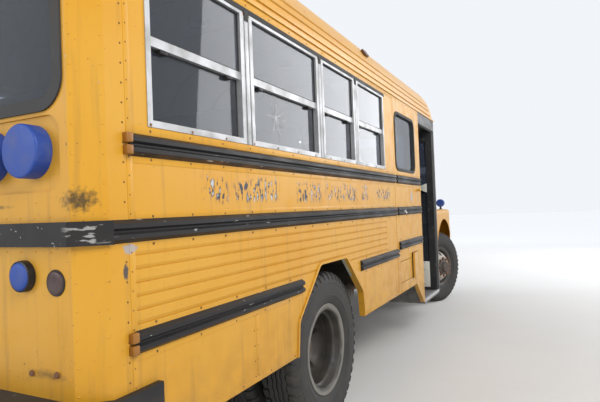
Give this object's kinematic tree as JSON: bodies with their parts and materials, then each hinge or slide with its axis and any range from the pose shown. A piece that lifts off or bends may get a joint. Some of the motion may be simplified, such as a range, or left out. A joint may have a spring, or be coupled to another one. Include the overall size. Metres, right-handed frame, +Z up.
{
  "type": "school bus",
  "caption": "Short long-nosed school bus with hinged entry and rear doors, lifting hood, steered front wheels and turning rear dual wheels.",
  "frame": {"origin": "on the ground under the middle of the bus's bounding box", "axes": "+Z up, +Y towards the tail, -Y towards the nose, -X towards the entry side"},
  "size_m": [2.493, 7.48, 3.05],
  "materials": {
    "amber_lens": "gloss, dark",
    "bare_aluminium": "satin, oxidised",
    "black_paint": "satin",
    "black_rubber": "matt",
    "black_wheel": "satin, dusty",
    "blue_cover": "matt",
    "cast_steel": "rough",
    "chassis_black": "satin, road dirt",
    "clear_lens": "gloss",
    "dash_plastic": "grained",
    "floor_rubber": "ribbed matt",
    "red_lens": "gloss, dark",
    "seat_vinyl": "coated fabric, satin",
    "steel": "dull",
    "tyre_rubber": "matt, dusty",
    "white_wheel": "satin, rusty at the nuts",
    "window_glass": "clear",
    "yellow_paint": "satin enamel, weathered"
  },
  "bodies": {
    "bus": {"chassis_frame": "chassis_black", "body_floor": "floor_rubber", "wheel_boxes": "chassis_black", "stepwell": "steel", "right_side_wall": "yellow_paint", "left_side_wall": "yellow_paint", "rear_wall": "yellow_paint", "roof": "yellow_paint", "front_cowl": "yellow_paint", "side_window_frames": "bare_aluminium", "window_glass": "window_glass", "window_gaskets": "black_rubber", "rub_rails": "black_paint", "rear_bumper": "black_paint", "front_bumper": "black_paint", "front_fenders": "yellow_paint", "grille": "black_paint", "head_lamps": "clear_lens", "rear_lamps": "blue_cover", "rear_reflectors": "red_lens", "marker_lamps": "amber_lens", "front_axle": "cast_steel", "rear_axle": "cast_steel", "leaf_springs": "chassis_black", "drive_shaft": "cast_steel", "engine_block": "cast_steel", "exhaust": "steel", "fuel_tank": "chassis_black", "seat_frames": "steel", "seat_pads": "seat_vinyl", "driver_seat": "chassis_black", "driver_seat_pads": "seat_vinyl", "steering_column": "black_paint", "dashboard": "dash_plastic", "entry_door_frame": "black_paint", "fender_lamps": "blue_cover", "warning_lamps": "red_lens"},
    "hood": {"hood": "yellow_paint"},
    "battery_door": {"battery_door": "yellow_paint"},
    "side_hatch": {"side_hatch": "yellow_paint"},
    "rear_door": {"rear_door": "yellow_paint", "rear_door_glass": "window_glass", "rear_door_rail": "black_paint"},
    "entry_front_leaf": {"entry_door_front_leaf": "black_paint", "entry_door_front_glass": "window_glass"},
    "entry_rear_leaf": {"entry_door_rear_leaf": "black_paint", "entry_door_rear_glass": "window_glass"},
    "steering_wheel": {"steering_wheel": "dash_plastic"},
    "tie_rod": {"tie_rod": "chassis_black"},
    "right_knuckle": {"right_knuckle": "cast_steel"},
    "left_knuckle": {"left_knuckle": "cast_steel"},
    "right_front_wheel": {"right_front_tyre": "tyre_rubber", "right_front_wheel": "white_wheel"},
    "left_front_wheel": {"left_front_tyre": "tyre_rubber", "left_front_wheel": "white_wheel"},
    "right_rear_wheels": {"right_rear_tyres": "tyre_rubber", "right_rear_wheels": "black_wheel"},
    "left_rear_wheels": {"left_rear_tyres": "tyre_rubber", "left_rear_wheels": "black_wheel"}
  },
  "joints": [
    {"name": "steer_right", "type": "hinge", "parent": "bus", "child": "right_knuckle", "pos_m": [-0.8, -2.89, 0.505], "axis": [0, 0, 1], "range_deg": [-13, 57]},
    {"name": "steer_left", "type": "hinge", "parent": "bus", "child": "left_knuckle", "pos_m": [0.8, -2.89, 0.505], "axis": [0, 0, 1], "range_deg": [-13, 57]},
    {"name": "tie_rod_end", "type": "hinge", "parent": "right_knuckle", "child": "tie_rod", "pos_m": [-0.74755, -2.76019, 0.38], "axis": [0, 0, 1], "range_deg": [-57, 13]},
    {"name": "steering_wheel_turn", "type": "hinge", "parent": "bus", "child": "steering_wheel", "pos_m": [0.64, -1.37, 1.47], "axis": [0, 0.5299, 0.848], "range_deg": [-208, 912]},
    {"name": "right_front_spin", "type": "hinge", "parent": "right_knuckle", "child": "right_front_wheel", "pos_m": [-0.8, -2.89, 0.505], "axis": [0.9272, -0.3746, 0], "continuous": true},
    {"name": "left_front_spin", "type": "hinge", "parent": "left_knuckle", "child": "left_front_wheel", "pos_m": [0.8, -2.89, 0.505], "axis": [0.9272, -0.3746, 0], "continuous": true},
    {"name": "right_rear_spin", "type": "hinge", "parent": "bus", "child": "right_rear_wheels", "pos_m": [-0.889, 1.69, 0.505], "axis": [1, 0, 0], "continuous": true},
    {"name": "left_rear_spin", "type": "hinge", "parent": "bus", "child": "left_rear_wheels", "pos_m": [0.889, 1.69, 0.505], "axis": [1, 0, 0], "continuous": true},
    {"name": "entry_door", "type": "hinge", "parent": "bus", "child": "entry_front_leaf", "pos_m": [-1.213, -1.5, 0.4], "axis": [0, 0, 1], "range_deg": [0, 90]},
    {"name": "entry_door_fold", "type": "hinge", "parent": "entry_front_leaf", "child": "entry_rear_leaf", "pos_m": [-0.863, -1.5, 0.4], "axis": [0, 0, 1], "range_deg": [-180, 0]},
    {"name": "rear_door", "type": "hinge", "parent": "bus", "child": "rear_door", "pos_m": [-0.332, 3.628, 1.09], "axis": [0, 0, 1], "range_deg": [0, 100]},
    {"name": "hood", "type": "hinge", "parent": "bus", "child": "hood", "pos_m": [0, -1.822, 1.6], "axis": [-1, 0, 0], "range_deg": [0, 60]},
    {"name": "battery_door", "type": "hinge", "parent": "bus", "child": "battery_door", "pos_m": [-1.211, -0.08, 0.89], "axis": [0, 1, 0], "range_deg": [0, 100]},
    {"name": "side_hatch", "type": "hinge", "parent": "bus", "child": "side_hatch", "pos_m": [-1.211, -0.575, 0.82], "axis": [0, 0, 1], "range_deg": [-6, 84]}
  ],
  "couplings": [
    {"joint": "steer_left", "follows": "steer_right", "ratio": 1},
    {"joint": "tie_rod_end", "follows": "steer_right", "ratio": -1},
    {"joint": "steering_wheel_turn", "follows": "steer_right", "ratio": 16},
    {"joint": "entry_door_fold", "follows": "entry_door", "ratio": -2}
  ]
}
